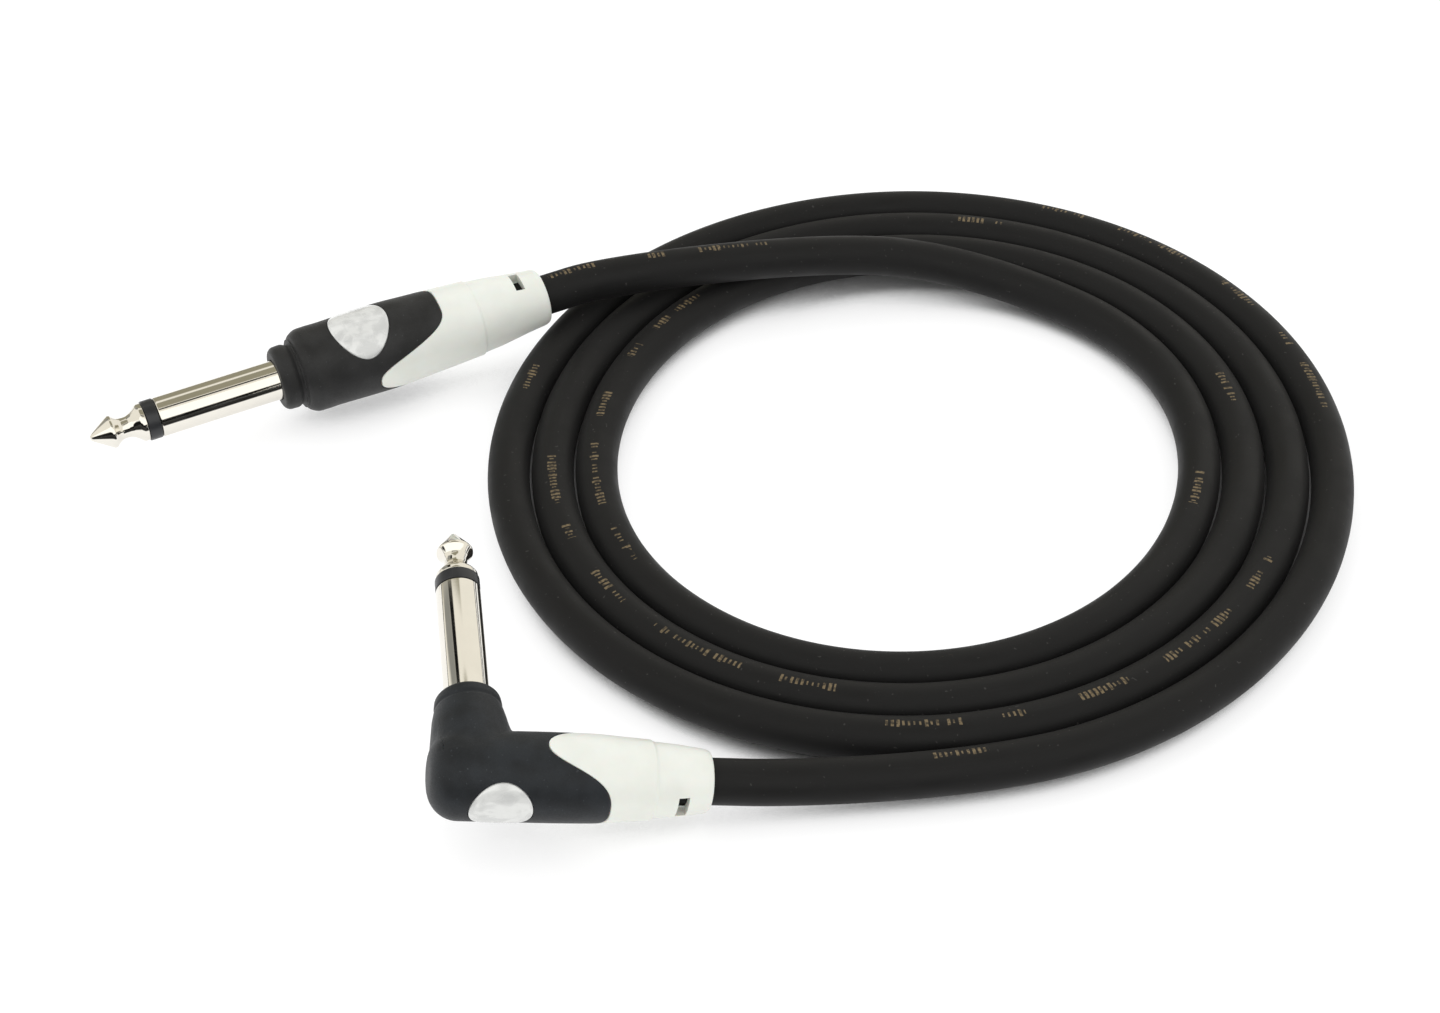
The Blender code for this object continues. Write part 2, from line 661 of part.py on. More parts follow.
def make_straight_plug():
    badge = badge_way(STRAIGHT_WAY, STRAIGHT_BADGE_ANGLE)
    shoulder = STRAIGHT_EXIT + STRAIGHT_WAY * STRAIGHT_LENGTH
    handle = frame("straight_plug_frame", shoulder, STRAIGHT_WAY, badge)
    make_pin("straight", handle, -8 * MM, 4.2 * MM, 4.0 * MM, -11 * MM)
    make_straight_handle(handle)
    make_inside("straight", handle, -9.2 * MM, 3.2 * MM, -11.3 * MM, -34.2 * MM)
    make_tail("straight", STRAIGHT_EXIT_AT, 1, (10.4, 14.4, 21.4, 31.6))


def make_angled_plug():
    badge = badge_way(ANGLED_WAY, ANGLED_BADGE_ANGLE)
    far_end = ANGLED_EXIT + ANGLED_WAY * ANGLED_LENGTH
    handle = frame("angled_plug_frame", far_end, ANGLED_WAY, badge)
    shoulder = far_end - ANGLED_WAY * ANGLED_PIN_AT - badge * NECK_HEIGHT
    pin_frame = frame("angled_pin_frame", shoulder, -badge, ANGLED_WAY)
    make_pin("angled", pin_frame, -10.3 * MM, 0, 2.8 * MM, -NECK_HEIGHT + 0.6 * MM)
    make_angled_handle(handle, pin_frame)
    make_inside("angled", handle, -10.6 * MM, -3.0 * MM, -8.4 * MM, -29.2 * MM)
    make_tail("angled", ANGLED_EXIT_AT, -1, (8.3, 10.8, 14.8, 27.4))


make_cable()
make_straight_plug()
make_angled_plug()
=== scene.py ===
"""The looks of the coiled instrument cable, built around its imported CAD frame.

Metres, in the row's own frame: +Z up, the middle of the whole cable's footprint at the origin.
The mounts say where the plugs lie and the joints where the cable bends. Sizes are the CAD's,
drawn finer.
"""

import json
from math import cos, pi, radians, sin

import bmesh
import bpy
import numpy as np
from mathutils import Matrix, Vector


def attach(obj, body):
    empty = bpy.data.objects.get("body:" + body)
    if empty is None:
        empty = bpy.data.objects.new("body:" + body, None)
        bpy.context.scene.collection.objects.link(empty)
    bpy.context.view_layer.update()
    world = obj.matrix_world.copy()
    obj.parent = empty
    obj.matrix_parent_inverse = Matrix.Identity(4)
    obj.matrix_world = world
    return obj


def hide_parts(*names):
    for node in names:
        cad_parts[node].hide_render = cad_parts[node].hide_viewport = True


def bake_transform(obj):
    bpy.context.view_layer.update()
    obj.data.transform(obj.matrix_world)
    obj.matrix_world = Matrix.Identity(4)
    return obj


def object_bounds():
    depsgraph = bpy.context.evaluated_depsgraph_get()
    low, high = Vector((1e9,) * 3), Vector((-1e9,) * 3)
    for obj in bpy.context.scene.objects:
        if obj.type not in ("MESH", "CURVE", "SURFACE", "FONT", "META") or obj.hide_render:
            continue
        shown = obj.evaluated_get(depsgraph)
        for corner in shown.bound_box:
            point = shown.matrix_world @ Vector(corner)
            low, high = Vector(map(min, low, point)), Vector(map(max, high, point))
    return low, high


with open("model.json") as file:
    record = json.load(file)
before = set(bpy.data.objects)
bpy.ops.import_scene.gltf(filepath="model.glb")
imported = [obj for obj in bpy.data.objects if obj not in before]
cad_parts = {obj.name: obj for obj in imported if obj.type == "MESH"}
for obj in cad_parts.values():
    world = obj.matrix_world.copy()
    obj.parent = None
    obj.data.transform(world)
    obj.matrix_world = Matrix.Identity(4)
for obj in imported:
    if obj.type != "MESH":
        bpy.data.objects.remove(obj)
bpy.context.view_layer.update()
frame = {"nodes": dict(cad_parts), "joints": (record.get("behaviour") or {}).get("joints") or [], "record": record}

MM = 0.001
JOINTS = {joint["name"]: joint for joint in frame["joints"]}
MOUNTS = {mount["name"]: mount for mount in frame["record"]["mounts"]}

# The coil: a flat, slightly oval spiral, in turns from the near side, anticlockwise.
COIL_RADIUS = 69.3 * MM
COIL_PITCH = 6.76 * MM
COIL_OVAL = (-0.035, 0.023)
REST_HEIGHT = 3.24 * MM
ANGLED_LEAVES_AT = 0.05
LIFT_AT = 3.40
STRAIGHT_LEAVES_AT = 3.50
RISE_ENDS_AT = 3.58
RISE = 6.85 * MM
UNWIND_AT = 0.50
STRAIGHT_RUN = 5.5 * MM
RING_SPACING = 1.1 * MM

# Layers of the cable: outer and inner radius, sides, and how many steps of the route each ring takes.
JACKET_RADIUS = 3.24 * MM
LAYERS = {
    "jacket": (JACKET_RADIUS, 2.45 * MM, 36, 1),
    "shield": (2.25 * MM, 2.05 * MM, 12, 3),
    "core": (1.90 * MM, 0.85 * MM, 12, 3),
    "conductor": (0.70 * MM, 0.0, 8, 3),
}

# How far the cable flexes before and after each hinge, along the route.
FLEX = {
    "angled_plug_bend": (11.0 * MM, 11.0 * MM),
    "angled_lead_swing": (18.0 * MM, 4.5 * MM),
    "coil_unwind": (24.0 * MM, 6.0 * MM),
    "straight_lead_lift": (5.0 * MM, 22.0 * MM),
    "straight_plug_bend": (11.0 * MM, 11.0 * MM),
}

# 6.35 mm phone plug, measured from its shoulder towards the tip.
PIN_RADIUS = 3.175 * MM
PIN_LENGTH = 30.5 * MM
SLEEVE_TOP = 19.6 * MM
RING_TOP = 21.6 * MM
ROD_RADIUS = 1.20 * MM
TUBE_RADIUS = 1.80 * MM
FIT_GAP = 0.10 * MM
PIN_BORE = PIN_RADIUS + 0.15 * MM

STRAIGHT_SHOULDER_OUT = 4.0 * MM
STRAIGHT_LENGTH = 45.4 * MM
STRAIGHT_BADGE_ANGLE = radians(82)
ANGLED_SHOULDER_OUT = 3.75 * MM
ANGLED_LENGTH = 38.3 * MM
ANGLED_YAW = radians(8.6)
ANGLED_CLIMB = radians(10.0)
ANGLED_PIN_AT = 6.2 * MM
NECK_HEIGHT = 13.0 * MM

PARTING_GAP = 0.06 * MM
EDGE = 0.22 * MM
STEPS = 128
PIN_STEPS = 96
BADGE_STEPS = 96
BADGE_FIT = 0.12 * MM
BADGE_PROUD = 0.22 * MM
CUTTER_REACH = 12 * MM


# ---------------------------------------------------------------- where things lie

def plug_matrix(origin, way, towards):
    """Local Z along a plug's own way, local X towards its badge."""
    y_axis = way.cross(towards).normalized()
    x_axis = y_axis.cross(way)
    turn = Matrix((x_axis, y_axis, way)).transposed().to_4x4()
    return Matrix.Translation(origin) @ turn


def straight_frame():
    """The straight plug's frame, at its shoulder, from its mount."""
    way = Vector(MOUNTS["straight_shoulder"]["axis"]).normalized()
    side = way.cross(Vector((0, 0, 1))).normalized()
    up = side.cross(way).normalized()
    if side.y > 0:
        side = -side
    badge = side * cos(STRAIGHT_BADGE_ANGLE) + up * sin(STRAIGHT_BADGE_ANGLE)
    origin = Vector(MOUNTS["straight_shoulder"]["pos_m"]) - badge * STRAIGHT_SHOULDER_OUT
    return plug_matrix(origin, way, badge)


def angled_frames():
    """The right-angle plug's handle frame, at its domed end, and its pin's frame, at the shoulder."""
    pin_way = Vector(MOUNTS["angled_shoulder"]["axis"]).normalized()
    level = Vector((-cos(ANGLED_YAW), -sin(ANGLED_YAW), 0.0))
    way = level * cos(ANGLED_CLIMB) + Vector((0, 0, sin(ANGLED_CLIMB)))
    way = (way - pin_way * way.dot(pin_way)).normalized()
    shoulder = Vector(MOUNTS["angled_shoulder"]["pos_m"]) - way * ANGLED_SHOULDER_OUT
    far_end = shoulder + way * ANGLED_PIN_AT - pin_way * NECK_HEIGHT
    return plug_matrix(far_end, way, -pin_way), plug_matrix(shoulder, pin_way, way)


STRAIGHT = straight_frame()
ANGLED, ANGLED_PIN = angled_frames()


def axis_of(matrix):
    return matrix.to_3x3() @ Vector((0, 0, 1))


# ---------------------------------------------------------------- cable route

def spiral_point(turns):
    """A point of the coil's centre line, from the coil's own middle."""
    angle = 2 * pi * turns - pi / 2
    oval = 1 + COIL_OVAL[0] * cos(2 * angle) + COIL_OVAL[1] * sin(2 * angle)
    radius = COIL_RADIUS * oval - COIL_PITCH * turns
    rise = min(1.0, max(0.0, (turns - LIFT_AT) / (RISE_ENDS_AT - LIFT_AT)))
    height = REST_HEIGHT + RISE * rise * rise * (3 - 2 * rise)
    return Vector((radius * cos(angle), radius * sin(angle), height))


COIL_CENTRE = (Vector(JOINTS["coil_unwind"]["pos_m"]) - spiral_point(UNWIND_AT)) * Vector((1, 1, 0))


def coil_point(turns):
    return COIL_CENTRE + spiral_point(turns)


def coil_direction(turns):
    step = 0.001
    return (coil_point(turns + step) - coil_point(turns - step)).normalized()


def bend(start, start_way, start_reach, end, end_way, end_reach):
    """A cubic curve's points, leaving start and reaching end along the given ways."""
    first = start + start_way * start_reach
    second = end - end_way * end_reach
    shares = np.linspace(0, 1, 60)
    return [start * (1 - t) ** 3 + first * 3 * (1 - t) ** 2 * t + second * 3 * (1 - t) * t * t + end * t**3
            for t in shares]


def route():
    """The centre line, from inside the right-angle plug to inside the straight plug."""
    angled_way, straight_way = axis_of(ANGLED), axis_of(STRAIGHT)
    angled_exit = ANGLED.translation - angled_way * ANGLED_LENGTH
    straight_exit = STRAIGHT.translation - straight_way * STRAIGHT_LENGTH
    inside = 36 * MM
    relief = angled_exit - angled_way * STRAIGHT_RUN
    lead = bend(relief, -angled_way, 6 * MM, coil_point(ANGLED_LEAVES_AT),
                coil_direction(ANGLED_LEAVES_AT), 17 * MM)
    turns = np.linspace(ANGLED_LEAVES_AT, STRAIGHT_LEAVES_AT, 900)
    other_relief = straight_exit - straight_way * STRAIGHT_RUN
    other_lead = bend(coil_point(STRAIGHT_LEAVES_AT), coil_direction(STRAIGHT_LEAVES_AT), 14 * MM,
                      other_relief, straight_way, 8 * MM)
    points = [angled_exit + angled_way * inside, angled_exit] + lead + [coil_point(t) for t in turns[1:]]
    points += other_lead[1:] + [straight_exit, straight_exit + straight_way * inside]
    return np.array(points), np.array(angled_exit), np.array(straight_exit)


ROUTE, ANGLED_EXIT, STRAIGHT_EXIT = route()
WALKED = np.concatenate(([0.0], np.cumsum(np.linalg.norm(np.diff(ROUTE, axis=0), axis=1))))


def along(distances):
    """Points of the route at the given distances."""
    return np.stack([np.interp(distances, WALKED, ROUTE[:, axis]) for axis in range(3)], axis=-1)


def distance_of(point):
    """How far along the route the nearest point lies."""
    fine = np.linspace(0, WALKED[-1], 20000)
    gaps = np.linalg.norm(along(fine) - np.array(point), axis=1)
    return fine[gaps.argmin()]


ANGLED_EXIT_AT = distance_of(ANGLED_EXIT)
STRAIGHT_EXIT_AT = distance_of(STRAIGHT_EXIT)
HINGE_AT = {name: distance_of(JOINTS[name]["pos_m"]) for name in FLEX}
FLEX_ENDS = {name: (HINGE_AT[name] - FLEX[name][0], HINGE_AT[name] + FLEX[name][1]) for name in FLEX}
FLEX_ENDS["angled_plug_bend"] = (ANGLED_EXIT_AT, FLEX_ENDS["angled_plug_bend"][1])
FLEX_ENDS["straight_plug_bend"] = (FLEX_ENDS["straight_plug_bend"][0], STRAIGHT_EXIT_AT)


# ---------------------------------------------------------------- material nodes

def new_look(name):
    """A material and its node tree, with its Principled BSDF ready."""
    look = bpy.data.materials.new(name)
    look.use_nodes = True
    return look, look.node_tree, look.node_tree.nodes["Principled BSDF"]


def add(tree, kind, inputs=None, **settings):
    """A shader node; inputs are values or other nodes' sockets."""
    made = tree.nodes.new("ShaderNode" + kind)
    for key, value in settings.items():
        setattr(made, key, value)
    for key, value in (inputs or {}).items():
        if isinstance(value, bpy.types.NodeSocket):
            tree.links.new(value, made.inputs[key])
        else:
            made.inputs[key].default_value = value
    return made


def math(tree, operation, a, b=0.0, clamp=False):
    made = add(tree, "Math", {0: a, 1: b}, operation=operation, use_clamp=clamp)
    return made.outputs[0]


def noise(tree, vector, scale, detail=2.0, roughness=0.5):
    return add(tree, "TexNoise", {"Vector": vector, "Scale": scale, "Detail": detail,
                                  "Roughness": roughness}).outputs["Fac"]


def spread(tree, value, low, high, to_low, to_high):
    """Maps a value from one range to another, clamped and eased."""
    made = add(tree, "MapRange", {"Value": value, "From Min": low, "From Max": high,
                                  "To Min": to_low, "To Max": to_high}, interpolation_type="SMOOTHSTEP")
    return made.outputs["Result"]


def mix(tree, share, first, second):
    made = tree.nodes.new("ShaderNodeMix")
    made.data_type = "RGBA"
    for socket, value in (("Factor_Float", share), ("A_Color", first), ("B_Color", second)):
        target = next(s for s in made.inputs if s.identifier == socket)
        if isinstance(value, bpy.types.NodeSocket):
            tree.links.new(value, target)
        else:
            target.default_value = value
    return next(s for s in made.outputs if s.identifier == "Result_Color")


def bump(tree, shader, height, strength, distance):
    made = add(tree, "Bump", {"Height": height, "Strength": strength, "Distance": distance})
    tree.links.new(made.outputs["Normal"], shader.inputs["Normal"])


def feed(tree, shader, **sockets):
    """Links or sets the shader's inputs; an underscore stands for a space."""
    for key, value in sockets.items():
        target = shader.inputs[key.replace("_", " ")]
        if isinstance(value, bpy.types.NodeSocket):
            tree.links.new(value, target)
        else:
            target.default_value = value


def window(tree, value, low, high, soft):
    """1 between low and high, falling to 0 over soft on both sides."""
    rises = spread(tree, value, low - soft, low + soft, 0.0, 1.0)
    falls = spread(tree, value, high - soft, high + soft, 1.0, 0.0)
    return math(tree, "MULTIPLY", rises, falls)


def both(tree, *shares):
    product = shares[0]
    for share in shares[1:]:
        product = math(tree, "MULTIPLY", product, share)
    return product


def object_place(tree):
    return add(tree, "TexCoord").outputs["Object"]


def grey(level, warmth=0.0):
    return (level * (1 + warmth), level, level * (1 - warmth), 1.0)


# ---------------------------------------------------------------- materials

# The jacket's print: runs of marks that repeat, as (start, length) in millimetres along the cable.
PRINT_PERIOD = 294 * MM
PRINT_START = distance_of(coil_point(0.982))
PRINT_RUNS = [(0, 12), (17, 3.6), (29, 8), (44, 15), (65, 8), (180, 8)]
PRINT_SWAY = 310 * MM
TICK_PITCH = 0.78 * MM


def jacket_look():
    look, tree, shader = new_look("jacket_rubber")
    place = add(tree, "UVMap", uv_map="along").outputs["UV"]
    split = add(tree, "SeparateXYZ", {"Vector": place})
    walked, share = split.outputs["X"], split.outputs["Y"]
    angle = math(tree, "MULTIPLY", share, 2 * pi)
    around = add(tree, "CombineXYZ", {
        "X": walked,
        "Y": math(tree, "MULTIPLY", math(tree, "COSINE", angle), JACKET_RADIUS),
        "Z": math(tree, "MULTIPLY", math(tree, "SINE", angle), JACKET_RADIUS)}).outputs["Vector"]
    lengthwise = add(tree, "Mapping", {"Vector": around, "Scale": (0.06, 1.0, 1.0)}).outputs["Vector"]

    grain = noise(tree, around, 5200, 3.0, 0.6)
    cloud = noise(tree, around, 160, 3.0)
    streak = noise(tree, lengthwise, 2600, 2.0)
    colour = mix(tree, cloud, grey(0.0080, 0.02), grey(0.0125, 0.02))
    colour = mix(tree, spread(tree, streak, 0.55, 0.85, 0.0, 0.35), colour, grey(0.016, 0.02))
    dust = spread(tree, noise(tree, around, 2100, 0.0), 0.80, 0.86, 0.0, 0.30)
    colour = mix(tree, dust, colour, grey(0.09, 0.05))

    marks = print_marks(tree, walked, share)
    worn = spread(tree, noise(tree, around, 1900, 1.0), 0.35, 0.60, 0.25, 1.0)
    ink = math(tree, "MULTIPLY", marks, worn)
    colour = mix(tree, math(tree, "MULTIPLY", ink, 0.80), colour, (0.200, 0.150, 0.082, 1.0))
    feed(tree, shader, Base_Color=colour, Roughness=spread(tree, cloud, 0.3, 0.7, 0.50, 0.64))
    feed(tree, shader, Specular_IOR_Level=0.15, Sheen_Weight=0.02, Sheen_Roughness=0.5)
    height = math(tree, "ADD", math(tree, "MULTIPLY", grain, 0.5), math(tree, "MULTIPLY", streak, 0.5))
    bump(tree, shader, height, 0.35, 0.03 * MM)
    return look


def print_marks(tree, walked, share):
    """1 where the jacket carries its worn, generic tick marks."""
    place = math(tree, "SUBTRACT", walked, PRINT_START)
    repeat = math(tree, "FLOORED_MODULO", place, PRINT_PERIOD)
    run = None
    for start, length in PRINT_RUNS:
        after = math(tree, "GREATER_THAN", repeat, start * MM)
        before = math(tree, "LESS_THAN", repeat, (start + length) * MM)
        inside = math(tree, "MULTIPLY", after, before)
        run = inside if run is None else math(tree, "ADD", run, inside)
    count = math(tree, "DIVIDE", walked, TICK_PITCH)
    tick = math(tree, "FRACT", count)
    number = math(tree, "FLOOR", count)
    which = add(tree, "TexWhiteNoise", {"W": number}, noise_dimensions="1D").outputs["Value"]
    thick = spread(tree, which, 0.0, 1.0, 0.28, 0.62)
    line = math(tree, "LESS_THAN", tick, thick)
    turn = math(tree, "MULTIPLY", walked, 2 * pi / PRINT_SWAY)
    sway = math(tree, "MULTIPLY", math(tree, "SINE", turn), 0.02)
    middle = math(tree, "ADD", 0.495, sway)
    off = math(tree, "ABSOLUTE", math(tree, "SUBTRACT", share, middle))
    tall = spread(tree, which, 0.2, 0.9, 0.016, 0.034)
    short = math(tree, "LESS_THAN", off, tall)
    present = math(tree, "GREATER_THAN", which, 0.12)
    return both(tree, both(tree, run, line), both(tree, short, present))


def grip_look(name, tint):
    """Soft-touch elastomer: nearly black, with a fine spark-eroded grain."""
    look, tree, shader = new_look(name)
    place = object_place(tree)
    grain = noise(tree, place, 4200, 2.0, 0.7)
    cloud = noise(tree, place, 260, 3.0)
    dark = tuple(0.75 * c for c in tint) + (1.0,)
    light = tuple(1.35 * c for c in tint) + (1.0,)
    colour = mix(tree, spread(tree, cloud, 0.3, 0.7, 0.0, 1.0), dark, light)
    speck = spread(tree, noise(tree, place, 3100, 0.0), 0.78, 0.86, 0.0, 0.25)
    colour = mix(tree, speck, colour, (0.10, 0.11, 0.12, 1.0))
    feed(tree, shader, Base_Color=colour, Roughness=spread(tree, grain, 0.3, 0.7, 0.50, 0.62))
    feed(tree, shader, Specular_IOR_Level=0.30, Sheen_Weight=0.06, Sheen_Roughness=0.45)
    bump(tree, shader, grain, 0.5, 0.035 * MM)
    return look


def shell_look():
    """Satin off-white moulded plastic."""
    look, tree, shader = new_look("shell_plastic")
    place = object_place(tree)
    cloud = noise(tree, place, 190, 3.0)
    fine = noise(tree, place, 3600, 2.0, 0.6)
    share = spread(tree, cloud, 0.3, 0.7, 0.0, 1.0)
    colour = mix(tree, share, (0.715, 0.730, 0.670, 1.0), (0.755, 0.768, 0.712, 1.0))
    feed(tree, shader, Base_Color=colour, Roughness=spread(tree, cloud, 0.25, 0.75, 0.34, 0.46))
    feed(tree, shader, Subsurface_Weight=0.12, Subsurface_Scale=1.2 * MM, Specular_IOR_Level=0.45)
    bump(tree, shader, fine, 0.25, 0.02 * MM)
    return look


def badge_look():
    """Pearl inlay: pale, with soft silvery swirls."""
    look, tree, shader = new_look("badge_plastic")
    place = object_place(tree)
    warp = add(tree, "TexNoise", {"Vector": place, "Scale": 230.0, "Detail": 1.0}).outputs["Color"]
    pull = add(tree, "VectorMath", {0: warp, "Scale": 4 * MM}, operation="SCALE").outputs[0]
    bent = add(tree, "VectorMath", {0: place, 1: pull}, operation="ADD").outputs[0]
    swirl = noise(tree, bent, 520, 2.0)
    share = spread(tree, swirl, 0.38, 0.62, 0.0, 1.0)
    colour = mix(tree, share, (0.575, 0.580, 0.565, 1.0), (0.695, 0.700, 0.680, 1.0))
    feed(tree, shader, Base_Color=colour, Roughness=spread(tree, swirl, 0.3, 0.7, 0.32, 0.2))
    feed(tree, shader, Coat_Weight=0.6, Coat_Roughness=0.08, Metallic=0.08)
    bump(tree, shader, swirl, 0.08, 0.05 * MM)
    return look


def metal_look(name, colour, rough, scratch):
    """Plated or bare metal, with fine turning lines around local Z."""
    look, tree, shader = new_look(name)
    place = object_place(tree)
    rings = add(tree, "Mapping", {"Vector": place, "Scale": (0.05, 0.05, 1.0)}).outputs["Vector"]
    turned = noise(tree, rings, 9000, 2.0, 0.7)
    cloud = noise(tree, place, 300, 3.0)
    dark = tuple(0.90 * c for c in colour) + (1.0,)
    feed(tree, shader, Metallic=1.0, Base_Color=mix(tree, cloud, dark, colour + (1.0,)))
    feed(tree, shader, Roughness=spread(tree, cloud, 0.3, 0.75, rough, rough * 1.7 + 0.02))
    bump(tree, shader, turned, scratch, 0.01 * MM)
    return look


def plain_look(name, dark, light, rough, scale):
    """Moulded or extruded plastic with faint mottling."""
    look, tree, shader = new_look(name)
    place = object_place(tree)
    cloud = noise(tree, place, scale, 3.0)
    feed(tree, shader, Base_Color=mix(tree, cloud, dark + (1.0,), light + (1.0,)))
    feed(tree, shader, Roughness=spread(tree, cloud, 0.3, 0.7, rough, rough + 0.12))
    bump(tree, shader, noise(tree, place, scale * 12, 2.0), 0.3, 0.02 * MM)
    return look


def copper_look():
    """Bare copper strands, laid slightly slanting."""
    look, tree, shader = new_look("copper")
    place = object_place(tree)
    strands = add(tree, "TexWave", {"Vector": place, "Scale": 900.0, "Distortion": 1.5, "Detail": 1.0})
    lines = strands.outputs["Fac"]
    feed(tree, shader, Base_Color=mix(tree, lines, (0.45, 0.19, 0.09, 1.0), (0.78, 0.40, 0.22, 1.0)))
    feed(tree, shader, Metallic=1.0, Roughness=spread(tree, lines, 0.0, 1.0, 0.42, 0.28))
    bump(tree, shader, lines, 0.6, 0.05 * MM)
    return look


LOOKS = {
    "jacket_rubber": jacket_look(),
    "straight_grip": grip_look("straight_grip_elastomer", (0.0150, 0.0150, 0.0150)),
    "angled_grip": grip_look("angled_grip_elastomer", (0.0105, 0.0128, 0.0155)),
    "shell_plastic": shell_look(),
    "badge_plastic": badge_look(),
    "nickel": metal_look("nickel", (0.86, 0.83, 0.76), 0.05, 0.12),
    "tinned_steel": metal_look("tinned_steel", (0.66, 0.65, 0.62), 0.30, 0.5),
    "solder": metal_look("solder", (0.60, 0.60, 0.61), 0.22, 0.3),
    "black_insulator": plain_look("black_insulator", (0.010, 0.011, 0.013), (0.020, 0.021, 0.024),
                                  0.30, 420),
    "core_polythene": plain_look("core_polythene", (0.72, 0.72, 0.68), (0.84, 0.84, 0.80), 0.40, 300),
    "copper": copper_look(),
}


# ---------------------------------------------------------------- mesh helpers

def finished(name, verts, faces, matrix, look, sharp=34):
    """A closed mesh object: faces out, smooth shaded, edges sharper than the angle kept crisp."""
    mesh = bpy.data.meshes.new(name)
    mesh.from_pydata([tuple(v) for v in verts], [], faces)
    work = bmesh.new()
    work.from_mesh(mesh)
    bmesh.ops.remove_doubles(work, verts=work.verts, dist=1e-7)
    bmesh.ops.recalc_face_normals(work, faces=work.faces)
    work.to_mesh(mesh)
    work.free()
    mesh.shade_smooth()
    mesh.set_sharp_from_angle(angle=radians(sharp))
    obj = bpy.data.objects.new(name, mesh)
    bpy.context.scene.collection.objects.link(obj)
    obj.matrix_world = matrix
    if look:
        mesh.materials.append(LOOKS[look])
    return obj


def ring_faces(rows, count, closed):
    """Quads between consecutive rings of count points; closed joins the last ring to the first."""
    faces = []
    for i in range(rows if closed else rows - 1):
        low, high = i * count, (i + 1) % rows * count
        for j in range(count):
            k = (j + 1) % count
            faces.append((low + j, high + j, high + k, low + k))
    return faces


def lofted(name, rings, matrix, look, closed=True, sharp=34):
    """A solid through rings of equal length. Open ends are closed with a face each."""
    count = len(rings[0])
    verts = np.concatenate(rings)
    faces = ring_faces(len(rings), count, closed)
    if not closed:
        last = (len(rings) - 1) * count
        faces += [tuple(range(count)), tuple(last + j for j in reversed(range(count)))]
    return finished(name, verts, faces, matrix, look, sharp)


def circle(steps):
    return np.arange(steps) * 2 * pi / steps


def ring(radius, height, steps):
    """A ring about local Z; radius and height are single values or one for each step."""
    angles = circle(steps)
    ones = np.ones(steps)
    return np.stack([radius * np.cos(angles), radius * np.sin(angles), height * ones], axis=-1)


def turned(name, profile, matrix, look, slot, closed=True, steps=PIN_STEPS, sharp=34):
    """A solid of revolution about local Z, from (radius, height) points."""
    rings = [ring(max(r, 1e-9), h, steps) for r, h in profile]
    return lofted(name, rings, matrix, look, closed, sharp)


def eased(profile, radius, arcs=4):
    """The profile with each clear corner rounded."""
    points = [Vector(p) for p in profile]
    out = [points[0]]
    for before, here, after in zip(points, points[1:], points[2:]):
        back, ahead = before - here, after - here
        turn = pi - back.angle(ahead)
        if turn < radians(12):
            out.append(here)
            continue
        cut = min(radius, 0.42 * back.length, 0.42 * ahead.length)
        start, end = here + back.normalized() * cut, here + ahead.normalized() * cut
        for i in range(arcs + 1):
            t = i / arcs
            out.append(start * (1 - t) ** 2 + here * 2 * t * (1 - t) + end * t * t)
    return [tuple(p) for p in out + [points[-1]]]


def eased_loop(profile, radius, arcs=4):
    """As eased, for a closed profile, whose first point is a corner as well."""
    wrapped = eased([profile[-1]] + profile + [profile[0]], radius, arcs)
    return wrapped[1:-1]


def swell(keys, back):
    """Smooth radius at the given distances back from the front, through (back, diameter) keys."""
    backs, widths = np.array(keys, float).T
    slopes = np.gradient(widths, backs)
    back = np.clip(np.asarray(back, float), backs[0], backs[-1])
    i = np.clip(np.searchsorted(backs, back, side="right") - 1, 0, len(backs) - 2)
    span = backs[i + 1] - backs[i]
    t = (back - backs[i]) / span
    width = ((1 + 2 * t) * (1 - t) ** 2 * widths[i] + t * (1 - t) ** 2 * span * slopes[i]
             + t * t * (3 - 2 * t) * widths[i + 1] + t * t * (t - 1) * span * slopes[i + 1])
    return width / 2 * MM


def cut(obj, operation, cutter):
    """Applies one Boolean and removes its cutter."""
    step = obj.modifiers.new(operation.lower(), "BOOLEAN")
    step.operation = operation
    step.solver = "EXACT"
    step.object = cutter
    bpy.context.view_layer.update()
    evaluated = obj.evaluated_get(bpy.context.evaluated_depsgraph_get())
    result = bpy.data.meshes.new_from_object(evaluated)
    old = obj.data
    obj.modifiers.clear()
    obj.data = result
    result.name = obj.name
    bpy.data.meshes.remove(old)
    bpy.data.objects.remove(cutter, do_unlink=True)
    result.set_sharp_from_angle(angle=radians(34))
    return obj


def oval_cutter(badge, matrix):
    """An oval prism through a handle's side, for the window that its badge sits in."""
    centre, half_along, half_across = badge[0], badge[1] + BADGE_FIT, badge[2] + BADGE_FIT
    angles = circle(BADGE_STEPS)
    across, along_handle = half_across * np.cos(angles), centre + half_along * np.sin(angles)
    rings = [np.stack([np.full(BADGE_STEPS, x), across, along_handle], axis=-1) for x in (MM, CUTTER_REACH)]
    return lofted("window_cutter", rings, matrix, None, closed=False)


def slot_cutter(height, matrix):
    """A box through the badge's side of a shell, for the small window near the cable's entry."""
    half_wide, half_long = 1.9 * MM, 0.75 * MM
    low, high = height - half_long, height + half_long
    corners = ((-half_wide, low), (half_wide, low), (half_wide, high), (-half_wide, high))
    rings = [np.array([(x, y, z) for y, z in corners]) for x in (3 * MM, 8 * MM)]
    return lofted("slot_cutter", rings, matrix, None, closed=False)


def rod_cutter(radius, top, bottom, matrix):
    ends = [(radius, top), (radius, bottom)]
    return turned("rod_cutter", ends, matrix, None, None, closed=False, steps=90)


# ---------------------------------------------------------------- cable

